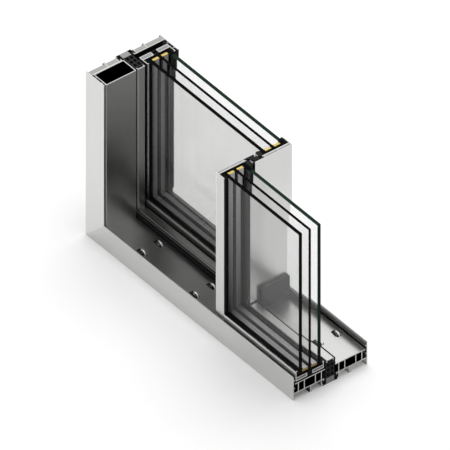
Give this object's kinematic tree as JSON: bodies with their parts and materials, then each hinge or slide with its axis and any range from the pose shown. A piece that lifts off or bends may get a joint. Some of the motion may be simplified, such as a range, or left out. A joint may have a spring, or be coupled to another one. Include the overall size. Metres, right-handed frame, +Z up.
{
  "type": "sliding window corner sample",
  "caption": "Cut corner sample of a horizontal sliding window: sill, side jamb and triple-glazed sashes overlapping at their meeting stiles.",
  "frame": {"origin": "centre of the box on the surface that the sill's feet stand on", "axes": "+X along the sill from the jamb to the cut end, +Y from the front face to the rear face, +Z up"},
  "size_m": [0.6506, 0.1836, 0.4072],
  "materials": {
    "front_aluminium": "satin anodised",
    "rear_aluminium": "satin anodised",
    "cap_aluminium": "satin anodised",
    "cover_aluminium": "satin anodised",
    "sash_aluminium": "satin anodised",
    "stile_cover": "satin anodised",
    "break_plastic": "matt",
    "carrier_plastic": "matt",
    "foam": "matt foam",
    "tape": "matt",
    "seal_rubber": "matt",
    "edge_seal": "matt",
    "block_rubber": "matt",
    "roller_steel": "polished",
    "spacer": "satin",
    "glass": "clear"
  },
  "bodies": {
    "root": {"sill_front_profile": "front_aluminium", "sill_rear_profile": "rear_aluminium", "sill_thermal_break": "break_plastic", "sill_break_cap": "cap_aluminium", "sill_foam_block": "foam", "sill_insulating_hooks": "break_plastic", "sill_seals": "seal_rubber", "front_track_rollers": "roller_steel", "rear_track_rollers": "roller_steel", "roller_axles": "roller_steel", "roller_carriers": "carrier_plastic", "jamb_front_profile": "front_aluminium", "jamb_rear_profile": "rear_aluminium", "jamb_thermal_break": "break_plastic", "jamb_break_cap": "cap_aluminium", "jamb_foam_block": "foam", "jamb_insulating_hooks": "break_plastic", "jamb_cover_box": "cover_aluminium", "jamb_wall_tape": "tape", "jamb_seals": "seal_rubber", "front_sash_bottom_rail": "sash_aluminium", "front_sash_rail_bar": "break_plastic", "front_sash_front_pane": "glass", "front_sash_middle_pane": "glass", "front_sash_rear_pane": "glass", "front_sash_spacers": "spacer", "front_sash_edge_seal": "edge_seal", "front_sash_gaskets": "seal_rubber", "front_stile": "sash_aluminium", "front_stile_cover": "stile_cover", "front_interlock": "break_plastic", "rear_sash_bottom_rail": "sash_aluminium", "rear_sash_jamb_rail": "sash_aluminium", "rear_sash_rail_bars": "break_plastic", "rear_sash_front_pane": "glass", "rear_sash_middle_pane": "glass", "rear_sash_rear_pane": "glass", "rear_sash_spacers": "spacer", "rear_sash_edge_seal": "edge_seal", "rear_sash_gaskets": "seal_rubber", "rear_stile": "sash_aluminium", "rear_stile_cover": "stile_cover", "rear_interlock": "break_plastic", "sash_insulation_strips": "tape", "glazing_blocks": "carrier_plastic", "track_sealing_block": "block_rubber", "interlock_foot_pad": "seal_rubber"}
  },
  "joints": []
}
